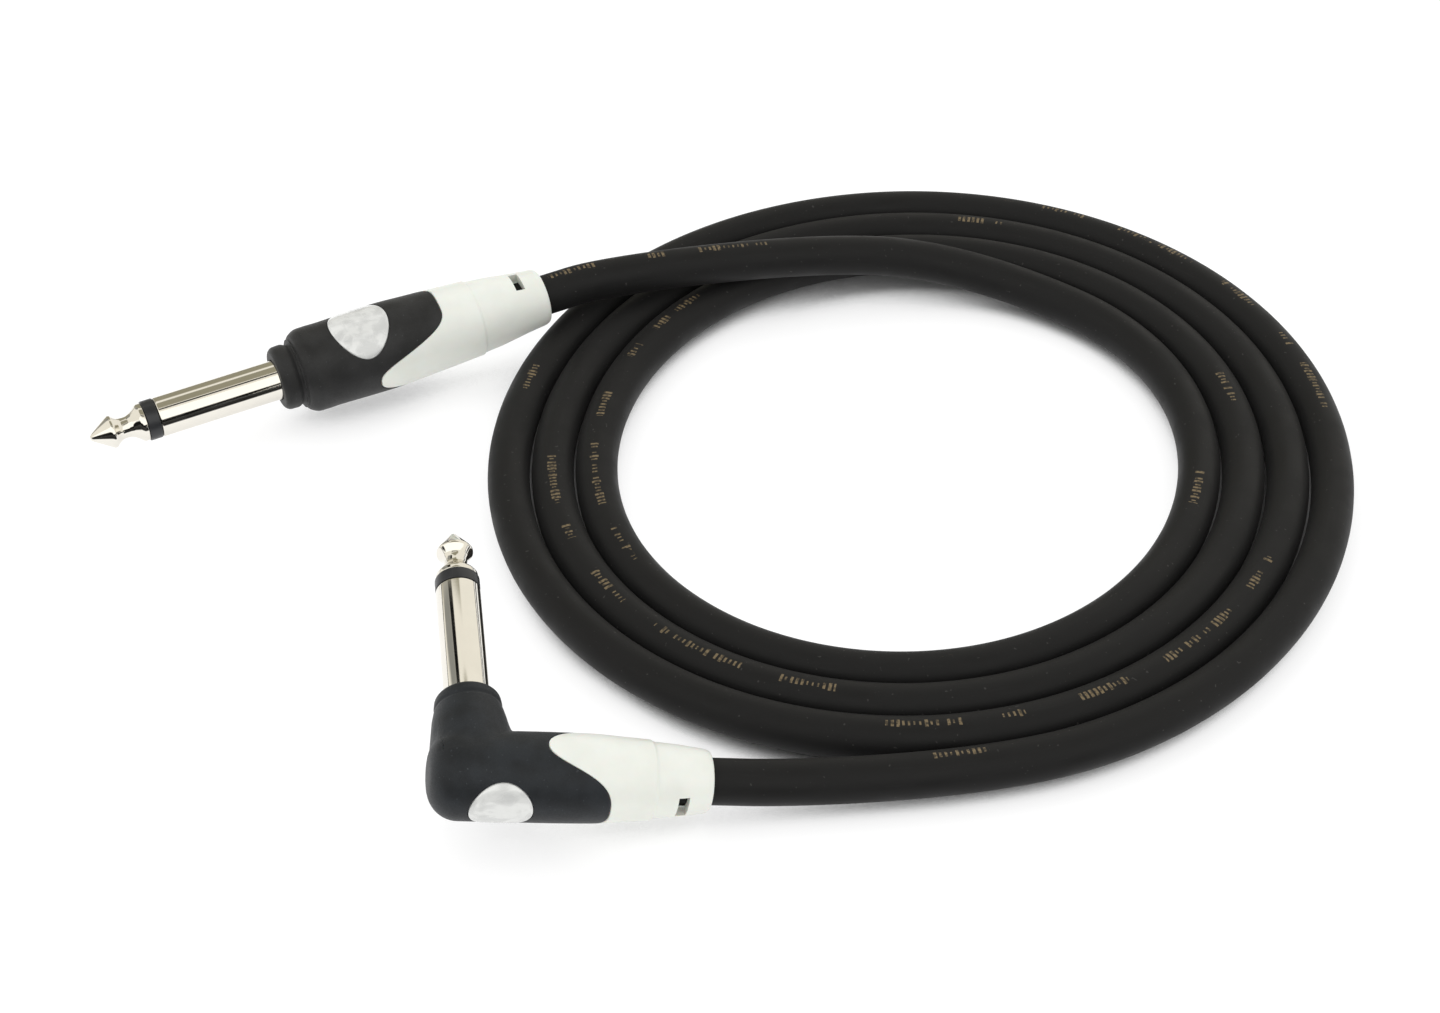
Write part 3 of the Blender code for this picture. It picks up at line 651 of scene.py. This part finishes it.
def route_rings(start, end, radius, sides, stride):
    """Rings of points around the route; the ring's first point is underneath."""
    count = max(2, round((end - start) / (RING_SPACING * stride)))
    distances = np.linspace(start, end, count + 1)
    centres = along(distances)
    ahead = along(distances + 0.4 * MM) - along(distances - 0.4 * MM)
    ahead /= np.linalg.norm(ahead, axis=1)[:, None]
    side = np.cross(ahead, (0, 0, 1.0))
    side /= np.linalg.norm(side, axis=1)[:, None]
    up = np.cross(side, ahead)
    angles = circle(sides) - pi / 2
    across = side[:, None] * np.cos(angles)[:, None] + up[:, None] * np.sin(angles)[:, None]
    return distances, centres[:, None] + radius * across


def length_of_cable(name, layer, start, end, look):
    """One layer of one length: a tube, or a rod where it has no bore."""
    outer, inner, sides, stride = LAYERS[layer]
    distances, rings = route_rings(start, end, outer, sides, stride)
    rings = list(rings)
    rows = len(rings)
    if inner:
        rings += list(route_rings(start, end, inner, sides, stride)[1][::-1])
    piece = lofted(name, rings, Matrix(), look, closed=bool(inner), sharp=50)
    uv = piece.data.uv_layers.new(name="along")
    spots = {}
    for row, points in enumerate(rings):
        walked = distances[row] if row < rows else distances[2 * rows - 1 - row]
        for j, point in enumerate(points):
            spots[tuple(np.round(point / MM, 3))] = (walked, j / sides)
    for polygon in piece.data.polygons:
        found = [spots.get(tuple(np.round(np.array(piece.data.vertices[v].co) / MM, 3)), (0.0, 0.0))
                 for v in polygon.vertices]
        wraps = max(v for _, v in found) - min(v for _, v in found) > 0.5
        for loop, (walked, share) in zip(polygon.loop_indices, found):
            uv.data[loop].uv = (walked, share + 1.0 if wraps and share < 0.5 else share)
    return piece


LAYER_LOOKS = {"jacket": "jacket_rubber", "shield": "copper", "core": "core_polythene",
               "conductor": "copper"}


def rigid_length(body, start, end):
    for layer, look in LAYER_LOOKS.items():
        piece = length_of_cable("cable_" + body + "_" + layer, layer, start, end, look)
        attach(piece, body)
        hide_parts(body + "_" + layer)


def flexing_length(joint, node):
    """The stretch of cable around one joint, where the cable flexes, built as it lies at rest."""
    start, end = FLEX_ENDS[joint]
    ends = [Vector(p) for p in along(np.array([start, end]))]
    if joint in ("angled_plug_bend", "angled_lead_swing", "coil_unwind"):
        ends.reverse()
    for layer, look in LAYER_LOOKS.items():
        piece = length_of_cable("cable_" + node + "_" + layer, layer, start, end, look)
        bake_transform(piece)
        if layer == "jacket":
            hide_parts(node)


def tail(side, exit_at, inwards, depths):
    """The cable's stripped end inside a handle."""
    for (layer, look), depth in zip(LAYER_LOOKS.items(), depths):
        start, end = sorted((exit_at, exit_at + inwards * depth * MM))
        name = side + "_tail_" + layer
        piece = length_of_cable("cable_" + name, layer, start, end, look)
        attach(piece, side + "_plug")
        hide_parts(name)


def make_cable():
    ends = FLEX_ENDS
    rigid_length("angled_lead", ends["angled_plug_bend"][1], ends["angled_lead_swing"][0])
    rigid_length("outer_turn", ends["angled_lead_swing"][1], ends["coil_unwind"][0])
    rigid_length("coil", ends["coil_unwind"][1], ends["straight_lead_lift"][0])
    rigid_length("straight_lead", ends["straight_lead_lift"][1], ends["straight_plug_bend"][0])
    flexing_length("angled_plug_bend", "angled_plug_flex")
    flexing_length("angled_lead_swing", "angled_lead_flex")
    flexing_length("coil_unwind", "outer_turn_flex")
    flexing_length("straight_lead_lift", "straight_lead_flex")
    flexing_length("straight_plug_bend", "straight_plug_flex")
    tail("angled", ANGLED_EXIT_AT, -1, (8.3, 10.8, 14.8, 27.4))
    tail("straight", STRAIGHT_EXIT_AT, 1, (10.4, 14.4, 21.4, 31.6))


# ---------------------------------------------------------------- pins

def tip_profile(rod_end):
    """Cone, waist and flare, then the rod that runs back inside the sleeve."""
    top = PIN_LENGTH
    head = [(0.0, 0.0), (0.30, 0.06), (0.62, 0.36), (2.42, 3.02), (2.62, 3.36), (2.60, 3.72), (2.30, 4.05),
            (1.86, 4.62), (1.70, 5.05), (1.66, 5.60), (1.70, 6.15), (1.95, 6.75), (2.40, 7.35), (2.86, 7.85),
            (3.02, 8.15)]
    profile = [(r * MM, top - back * MM) for r, back in head]
    rod_top = RING_TOP + FIT_GAP
    profile += [(3.02 * MM, rod_top), (ROD_RADIUS, rod_top), (ROD_RADIUS, rod_end), (0.0, rod_end)]
    return eased(profile, 0.10 * MM, 3)


def make_pin(side, matrix, rear, flange, rod_end):
    body = side + "_plug"
    tip = turned(side + "_pin_tip", tip_profile(rod_end), matrix, "nickel", "nickel", closed=False)
    inner = ROD_RADIUS + FIT_GAP
    foot = SLEEVE_TOP + FIT_GAP
    band = [(PIN_RADIUS, RING_TOP), (PIN_RADIUS, foot), (inner, foot), (inner, RING_TOP)]
    insulator = turned(side + "_pin_insulator", eased_loop(band, 0.12 * MM), matrix,
                       "black_insulator", "black_insulator")
    bore = TUBE_RADIUS + FIT_GAP
    outline = [(PIN_RADIUS, SLEEVE_TOP)]
    if flange:
        flange_top = rear + 1.4 * MM
        outline += [(PIN_RADIUS, flange_top), (flange, flange_top), (flange, rear)]
    else:
        outline += [(PIN_RADIUS, rear)]
    outline += [(bore, rear), (bore, SLEEVE_TOP)]
    sleeve = turned(side + "_pin_sleeve", eased_loop(outline, 0.22 * MM), matrix, "nickel", "nickel")
    for piece, node in ((tip, "_tip"), (insulator, "_insulator_ring"), (sleeve, "_sleeve")):
        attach(piece, body)
        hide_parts(side + node)


# ---------------------------------------------------------------- handles

def wave_height(radius_at, tip, reach, sharpness, steps):
    """Where the white shell begins, for each step around: its noses point forwards at the sides."""
    half, nose_at = 7.1 * MM, -0.9 * MM
    height = np.full(steps, -tip * MM)
    for _ in range(6):
        across = radius_at(-height / MM) * np.cos(circle(steps))
        share = np.minimum(1.0, np.abs(across - nose_at) / half)
        height = -(tip + reach * np.sin(pi / 2 * share) ** sharpness) * MM
    return height


def between(first, last, count, radius_at, steps):
    """Rings on a handle's surface from one height to another; heights may differ around."""
    rings = []
    for share in np.linspace(0, 1, count):
        height = first + (last - first) * share
        rings.append(ring(radius_at(-height / MM), height * np.ones(steps), steps))
    return rings


def rounded_rim(edge, radius_at, towards, steps):
    """Rings that round off a surface at its edge; towards is 1 where the edge faces back, -1 forwards."""
    rings = []
    for angle in np.linspace(0, pi / 2, 5):
        height = edge + towards * EDGE * (1 - sin(angle))
        radius = radius_at(-edge / MM) - EDGE * (1 - cos(angle))
        rings.append(ring(radius, height, steps))
    return rings


def make_badge(side, matrix, radius_at, badge):
    """A pearl oval that follows the handle's curve and stands slightly proud, with a rounded rim."""
    centre, half_along, half_across = badge
    angles = circle(BADGE_STEPS)
    rings = []
    for share in (0.001, 0.2, 0.4, 0.6, 0.75, 0.86, 0.93, 0.97, 0.99, 1.0):
        y = share * half_across * np.cos(angles)
        z = centre + share * half_along * np.sin(angles)
        lift = BADGE_PROUD * (1 - share**9) ** 0.5
        rings.append(np.stack([np.sqrt(radius_at(-z / MM) ** 2 - y * y) + lift - 0.03 * MM, y, z], axis=-1))
    for share in (1.0, 0.6, 0.001):
        y = share * half_across * np.cos(angles)
        z = centre + share * half_along * np.sin(angles)
        rings.append(np.stack([np.sqrt(radius_at(-z / MM) ** 2 - y * y) - 0.9 * MM, y, z], axis=-1))
    inlay = lofted(side + "_inlaid_badge", rings, matrix, "badge_plastic", closed=False)
    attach(inlay, side + "_plug")
    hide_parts(side + "_badge")


# Handle outlines: distance back from the front end and diameter, in millimetres.
STRAIGHT_BODY = [(3.9, 12.5), (5.0, 13.45), (6.2, 13.6), (8.5, 13.55), (13.7, 13.8), (19.0, 13.9),
                 (23.0, 13.5), (28.0, 13.0), (33.2, 12.4)]
STRAIGHT_REAR = [(33.6, 11.9), (37.0, 11.3), (41.6, 10.0), (44.7, 9.3)]
# Each badge: its middle's height on the handle, half its length and half its width.
STRAIGHT_BADGE = (-14.3 * MM, 4.7 * MM, 5.6 * MM)


def straight_radius(back):
    return swell(STRAIGHT_BODY, back)


def make_straight_handle():
    skin = 5.5 * MM
    step = -3.4 * MM
    edge = wave_height(straight_radius, 15.1, 12.3, 3, STEPS)

    lip = [(PIN_BORE, 0.0), (4.55 * MM, 0.0), (5.10 * MM, -0.6 * MM), (5.18 * MM, -2.2 * MM),
           (4.80 * MM, -2.9 * MM), (4.95 * MM, -3.3 * MM), (6.05 * MM, -3.7 * MM)]
    front = [ring(r, h, STEPS) for r, h in eased(lip + [(straight_radius(4.6), -4.6 * MM)], 0.5 * MM, 5)]
    rings = front + between(-5.0 * MM, edge + EDGE, 46, straight_radius, STEPS)
    rings += rounded_rim(edge, straight_radius, 1, STEPS)
    inside, bore_end = skin + FIT_GAP, step + FIT_GAP
    rings += [ring(inside, edge, STEPS), ring(inside, bore_end, STEPS), ring(PIN_BORE, bore_end, STEPS)]
    grip = lofted("straight_soft_grip", rings, STRAIGHT, "straight_grip")
    cut(grip, "DIFFERENCE", oval_cutter(STRAIGHT_BADGE, STRAIGHT))
    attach(grip, "straight_plug")
    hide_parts("straight_grip")
    make_badge("straight", STRAIGHT, straight_radius, STRAIGHT_BADGE)

    start = edge - PARTING_GAP
    rear = [(r / 2 * MM, -b * MM) for b, r in STRAIGHT_REAR]
    rear = [(straight_radius(32.9), -32.9 * MM), (straight_radius(33.3), -33.3 * MM)] + rear
    rear += [(4.35 * MM, -STRAIGHT_LENGTH), (3.4 * MM, -STRAIGHT_LENGTH), (3.4 * MM, -39 * MM),
             (4.4 * MM, -38 * MM), (4.4 * MM, step - 3 * MM), (PIN_BORE, step - 3 * MM), (PIN_BORE, step)]
    rings = [ring(skin, step, STEPS), ring(skin, start, STEPS)]
    rings += list(reversed(rounded_rim(start, straight_radius, -1, STEPS)))
    rings += between(start - EDGE, -32.5 * MM, 30, straight_radius, STEPS)
    rings += [ring(r, h, STEPS) for r, h in eased(rear, 0.45 * MM, 5)]
    shell = lofted("straight_white_shell", rings, STRAIGHT, "shell_plastic")
    cut(shell, "DIFFERENCE", slot_cutter(-41.2 * MM, STRAIGHT))
    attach(shell, "straight_plug")
    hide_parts("straight_shell")


ANGLED_BODY = [(4.2, 12.2), (10.0, 12.2), (18.0, 12.2), (23.0, 12.0), (27.0, 11.4), (30.1, 10.95)]
ANGLED_REAR = [(30.5, 10.4), (34.0, 9.8), (37.6, 8.8)]
ANGLED_BADGE = (-9.4 * MM, 4.3 * MM, 4.15 * MM)
ANGLED_RADIUS = 6.1
NECK_RADIUS = 5.7
DOME = 4.2


def angled_radius(back):
    """The right-angle handle's radius: a domed end, then a nearly straight body."""
    back = np.asarray(back, float)
    flat = ANGLED_RADIUS - DOME
    dome = flat + np.sqrt(np.maximum(0.0, DOME**2 - (DOME - np.minimum(back, DOME)) ** 2))
    return np.where(back < DOME, dome * MM, swell(ANGLED_BODY, back))


def make_angled_handle():
    skin = 4.95 * MM
    step = -1.6 * MM
    edge = wave_height(angled_radius, 15.5, 8.6, 2.4, STEPS)
    inside, bore_end = skin + FIT_GAP, step + FIT_GAP

    arcs = [DOME * (1 - cos(a)) for a in np.linspace(0, pi / 2, 14)[1:-1]]
    rings = [ring(0.001 * MM, 0.0, STEPS), ring(1.2 * MM, 0.0, STEPS)]
    rings += [ring(angled_radius(back), -back * MM, STEPS) for back in arcs]
    rings += between(-4.3 * MM, edge + EDGE, 50, angled_radius, STEPS)
    rings += rounded_rim(edge, angled_radius, 1, STEPS)
    rings += [ring(inside, edge, STEPS), ring(inside, bore_end, STEPS), ring(0.001 * MM, bore_end, STEPS)]
    grip = lofted("angled_soft_grip", rings, ANGLED, "angled_grip", closed=False)

    heights = [(0.0, 8.2), (0.5, 9.1), (1.6, 9.4), (2.1, 9.15), (2.5, 9.55), (4.0, 10.2), (5.7, 10.8),
               (7.2, 11.2), (9.3, 11.5), (12.0, 11.6)]
    outline = [(0.0, 0.0)] + [(w / 2 * MM, -d * MM) for d, w in heights] + [(0.0, -12.0 * MM)]
    neck = eased(outline, 0.5 * MM, 5)
    neck = turned("neck_cutter", neck, ANGLED_PIN @ Matrix.Rotation(radians(1.3), 4, "Z"), None, None,
                  closed=False, steps=STEPS)
    cut(grip, "UNION", neck)
    soften_crease(grip)
    cut(grip, "DIFFERENCE", rod_cutter(inside, bore_end, -26 * MM, ANGLED @ Matrix.Rotation(0.02, 4, "Z")))
    cut(grip, "DIFFERENCE", rod_cutter(PIN_BORE, 3 * MM, -11 * MM, ANGLED_PIN))
    cut(grip, "DIFFERENCE", oval_cutter(ANGLED_BADGE, ANGLED))
    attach(grip, "angled_plug")
    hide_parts("angled_grip")
    make_badge("angled", ANGLED, angled_radius, ANGLED_BADGE)

    start = edge - PARTING_GAP
    rear = [(angled_radius(29.8), -29.8 * MM), (angled_radius(30.1), -30.1 * MM)]
    rear += [(r / 2 * MM, -b * MM) for b, r in ANGLED_REAR]
    rear += [(4.1 * MM, -ANGLED_LENGTH), (3.4 * MM, -ANGLED_LENGTH), (3.4 * MM, -34 * MM),
             (4.1 * MM, -33 * MM), (4.1 * MM, -2.6 * MM), (0.001 * MM, -2.6 * MM)]
    rings = [ring(0.001 * MM, step, STEPS), ring(skin, step, STEPS), ring(skin, start, STEPS)]
    rings += list(reversed(rounded_rim(start, angled_radius, -1, STEPS)))
    rings += between(start - EDGE, -29.4 * MM, 34, angled_radius, STEPS)
    rings += [ring(r, h, STEPS) for r, h in eased(rear, 0.45 * MM, 5)]
    shell = lofted("angled_white_shell", rings, ANGLED, "shell_plastic", closed=False)
    cut(shell, "DIFFERENCE", rod_cutter(PIN_BORE, 3 * MM, -11 * MM, ANGLED_PIN))
    cut(shell, "DIFFERENCE", slot_cutter(-34.2 * MM, ANGLED))
    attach(shell, "angled_plug")
    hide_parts("angled_shell")


def soften_crease(grip):
    """Rounds the inner corner where the neck leaves the handle's body."""
    to_handle = ANGLED.inverted() @ grip.matrix_world
    to_pin = ANGLED_PIN.inverted() @ grip.matrix_world
    work = bmesh.new()
    work.from_mesh(grip.data)
    near = []
    for vert in work.verts:
        at_handle, at_pin = to_handle @ vert.co, to_pin @ vert.co
        off_body = abs(at_handle.xy.length - ANGLED_RADIUS * MM)
        off_neck = abs(at_pin.xy.length - NECK_RADIUS * MM)
        if off_body < 1.3 * MM and off_neck < 1.3 * MM and -13 * MM < at_pin.z < -3 * MM:
            near.append(vert)
    for _ in range(14):
        bmesh.ops.smooth_vert(work, verts=near, factor=0.5,
                              use_axis_x=True, use_axis_y=True, use_axis_z=True)
    work.to_mesh(grip.data)
    work.free()


# ---------------------------------------------------------------- parts inside the handles

def dress_inner_parts():
    """Procedural finishes for the CAD parts that stay as they are, inside the handles."""
    finishes = {"insulator_tube": "black_insulator", "rear_washer": "black_insulator",
                "ground_lug": "tinned_steel", "tip_lug": "tinned_steel", "cable_clamp": "tinned_steel",
                "tip_joint": "solder", "ground_joint": "solder"}
    for side in ("straight", "angled"):
        for part, look in finishes.items():
            node = frame["nodes"][side + "_" + part]
            node.data.materials.clear()
            node.data.materials.append(LOOKS[look])


# ---------------------------------------------------------------- studio

CAMERA_AT = COIL_CENTRE + Vector((-29.3, -380.5, 296.9)) * MM
CAMERA_DOWN = radians(38.66)
CAMERA_LENS = 77.42
FLOOR_HALF = 6.0
FLOOR_GLOW = 0.70


def make_floor(height):
    mesh = bpy.data.meshes.new("floor")
    corners = ((-FLOOR_HALF, -FLOOR_HALF), (FLOOR_HALF, -FLOOR_HALF), (FLOOR_HALF, FLOOR_HALF),
               (-FLOOR_HALF, FLOOR_HALF))
    mesh.from_pydata([(x, y, height) for x, y in corners], [], [(0, 1, 2, 3)])
    floor = bpy.data.objects.new("floor", mesh)
    bpy.context.scene.collection.objects.link(floor)
    look, tree, shader = new_look("pale_floor")
    mottle = noise(tree, object_place(tree), 6.0)
    # Painted reflection: for glossy rays only, the floor turns nearly black in a band of directions, so the nickel
    # pins mirror a dark band.
    back = add(tree, "SeparateXYZ", {"Vector": add(tree, "NewGeometry").outputs["Incoming"]})
    mirrored = add(tree, "LightPath").outputs["Is Glossy Ray"]
    dark_reflection_band = both(tree, mirrored, window(tree, back.outputs["Y"], 0.50, 1.2, 0.05),
               window(tree, back.outputs["Z"], -1.0, 0.40, 0.04))
    pale = mix(tree, mottle, grey(0.36), grey(0.38))
    feed(tree, shader, Base_Color=mix(tree, dark_reflection_band, pale, grey(0.01)), Roughness=0.75, Specular_IOR_Level=0.05)
    # The floor glows, though it is no lamp, to stay pale. The glow fades where ambient occlusion finds the cable
    # close, which paints shade under and beside the cable and in the crevices between its strands.
    open_sky = add(tree, "AmbientOcclusion", {"Distance": 25 * MM}, samples=12).outputs["AO"]
    glow_with_painted_shade = spread(tree, open_sky, 0.14, 0.40, 0.0, FLOOR_GLOW)
    glow = math(tree, "MULTIPLY", math(tree, "SUBTRACT", 1.0, dark_reflection_band), glow_with_painted_shade)
    feed(tree, shader, Emission_Color=grey(1.0), Emission_Strength=glow)
    mesh.materials.append(look)


def soft_light(name, place, aim, size, watts):
    data = bpy.data.lights.new(name, "AREA")
    data.shape = "RECTANGLE"
    data.size, data.size_y = size
    data.energy = watts
    light = bpy.data.objects.new(name, data)
    light.location = place
    light.rotation_euler = (Vector(aim) - Vector(place)).to_track_quat("-Z", "Y").to_euler()
    light.visible_glossy = False
    bpy.context.scene.collection.objects.link(light)


def make_world():
    """Even white light; mirrors see a studio of bright and dull panels with dark gaps between them."""
    world = bpy.data.worlds.new("studio")
    world.use_nodes = True
    bpy.context.scene.world = world
    tree = world.node_tree
    tree.nodes.clear()
    split = add(tree, "SeparateXYZ", {"Vector": add(tree, "TexCoord").outputs["Generated"]})
    x, y, z = split.outputs

    front = window(tree, y, -1.2, -0.44, 0.04)
    behind = both(tree, window(tree, y, 0.62, 1.2, 0.04), window(tree, x, -1.2, 0.04, 0.05),
                  window(tree, z, 0.03, 1.2, 0.03))
    overhead = both(tree, window(tree, z, 0.875, 1.2, 0.012), window(tree, y, -0.12, 0.62, 0.03))
    left = both(tree, window(tree, x, -0.83, -0.62, 0.03), window(tree, y, 0.38, 0.62, 0.03),
                window(tree, z, 0.16, 1.2, 0.03))
    gaps = (
        both(tree, window(tree, x, -0.62, -0.43, 0.02), window(tree, y, 0.38, 0.62, 0.03)),
        both(tree, window(tree, y, -0.30, -0.18, 0.02), window(tree, z, 0.90, 1.2, 0.02)),
        both(tree, window(tree, y, -1.2, -0.50, 0.05), window(tree, z, -0.2, 0.27, 0.03)),
        window(tree, z, -0.03, 0.04, 0.01),
    )
    studio = mix(tree, front, (0.98, 0.95, 0.87, 1.0), (1.35, 1.34, 1.28, 1.0))
    for panel in (behind, overhead):
        studio = mix(tree, panel, studio, (0.34, 0.32, 0.24, 1.0))
    studio = mix(tree, left, studio, (0.30, 0.30, 0.28, 1.0))
    for dark_reflection_band in gaps:
        studio = mix(tree, dark_reflection_band, studio, (0.008, 0.008, 0.008, 1.0))
    glossy = add(tree, "LightPath").outputs["Is Glossy Ray"]
    colour = mix(tree, glossy, (1.0, 1.0, 1.0, 1.0), studio)
    background = add(tree, "Background", {"Color": colour, "Strength": 1.0})
    output = add(tree, "OutputWorld")
    tree.links.new(background.outputs[0], output.inputs["Surface"])


def make_camera():
    data = bpy.data.cameras.new("camera")
    data.sensor_width = 36.0
    data.lens = CAMERA_LENS
    data.clip_start = 0.01
    camera = bpy.data.objects.new("camera", data)
    camera.location = CAMERA_AT
    camera.rotation_euler = (pi / 2 - CAMERA_DOWN, 0.0, 0.0)
    bpy.context.scene.collection.objects.link(camera)
    bpy.context.scene.camera = camera


# ---------------------------------------------------------------- everything together

make_cable()
make_pin("straight", STRAIGHT, -8 * MM, 4.2 * MM, -11 * MM)
make_pin("angled", ANGLED_PIN, -10.3 * MM, 0, -NECK_HEIGHT + 0.6 * MM)
make_straight_handle()
make_angled_handle()
dress_inner_parts()

VISUAL_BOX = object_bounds()
make_floor(VISUAL_BOX[0][2] - 0.02 * MM)
make_world()
soft_light("softbox_above", (-0.25, 0.25, 1.1), (0, 0, 0), (1.4, 1.1), 3.5)
soft_light("softbox_front", (0.5, -0.9, 0.7), (0, 0, 0), (0.9, 0.6), 1.0)
make_camera()
bpy.context.scene.view_settings.view_transform = "Standard"
